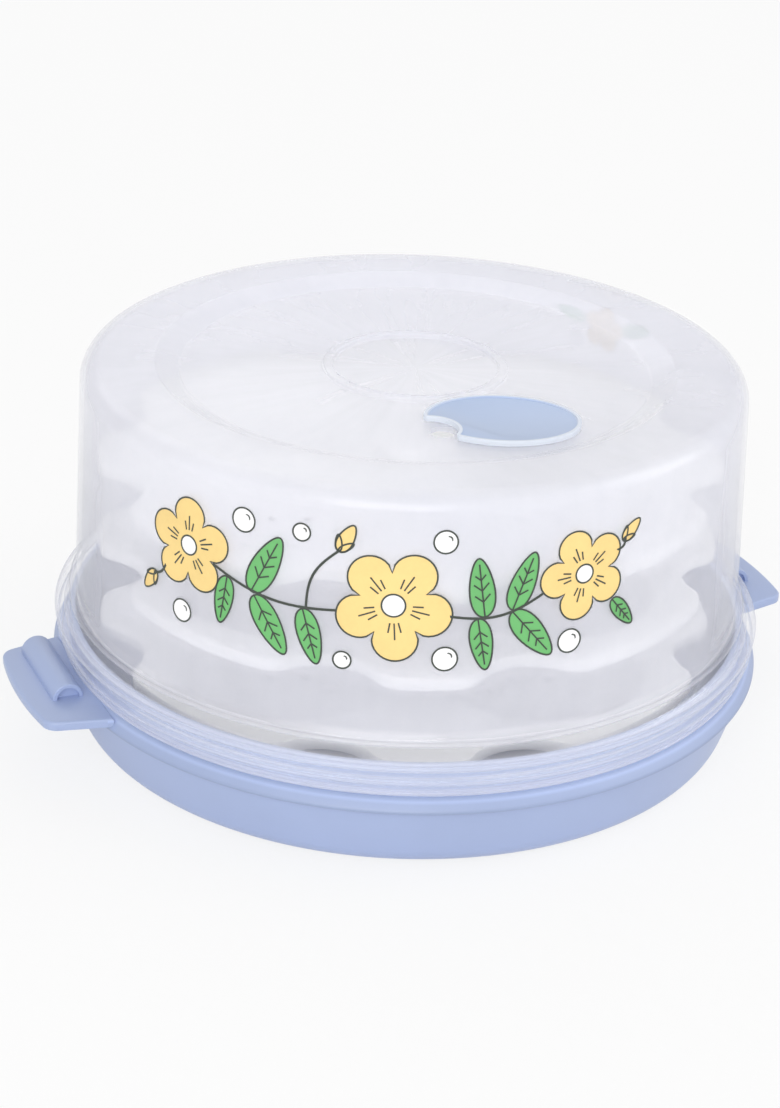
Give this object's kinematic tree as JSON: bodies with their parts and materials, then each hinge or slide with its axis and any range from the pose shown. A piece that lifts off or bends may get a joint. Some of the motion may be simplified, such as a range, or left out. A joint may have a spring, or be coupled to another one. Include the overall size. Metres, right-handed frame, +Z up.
{
  "type": "idli steamer",
  "caption": "Round steamer for a microwave oven: a water dish with side lugs, stacked cup plates for idlis, and a translucent domed lid with a turning steam-vent cover.",
  "frame": {"origin": "centre of the dish's foot, on the surface that it stands on", "axes": "+Z up, +X along the line through the lugs, +Y across it, away from the viewer"},
  "size_m": [0.258, 0.2246, 0.1172],
  "materials": {
    "dish_blue": "satin moulded polypropylene, pale blue",
    "lid_natural": "translucent natural polypropylene, slightly frosted",
    "vent_blue": "satin moulded polypropylene, light blue",
    "plate_white": "satin moulded polypropylene, white"
  },
  "bodies": {
    "base": {"base_dish": "dish_blue"},
    "lid": {"lid_dome": "lid_natural"},
    "vent": {"vent_cover": "vent_blue"},
    "plate_bottom": {"idli_plate_bottom": "plate_white"},
    "plate_middle": {"idli_plate_middle": "plate_white"},
    "plate_top": {"idli_plate_top": "plate_white"}
  },
  "joints": [
    {"name": "lid_lift", "type": "slide", "parent": "base", "child": "lid", "axis": [0, 0, 1], "range_m": [0, 0.28]},
    {"name": "plate_bottom_lift", "type": "slide", "parent": "base", "child": "plate_bottom", "axis": [0, 0, 1], "range_m": [0, 0.07]},
    {"name": "plate_middle_lift", "type": "slide", "parent": "base", "child": "plate_middle", "axis": [0, 0, 1], "range_m": [0, 0.14]},
    {"name": "plate_top_lift", "type": "slide", "parent": "base", "child": "plate_top", "axis": [0, 0, 1], "range_m": [0, 0.21]},
    {"name": "vent_swivel", "type": "hinge", "parent": "lid", "child": "vent", "pos_m": [0.00602, -0.04903, 0.1144], "axis": [0, 0, 1], "range_deg": [-8, 36]}
  ],
  "couplings": [
    {"joint": "plate_bottom_lift", "follows": "lid_lift", "ratio": 0.25},
    {"joint": "plate_middle_lift", "follows": "lid_lift", "ratio": 0.5},
    {"joint": "plate_top_lift", "follows": "lid_lift", "ratio": 0.75}
  ]
}
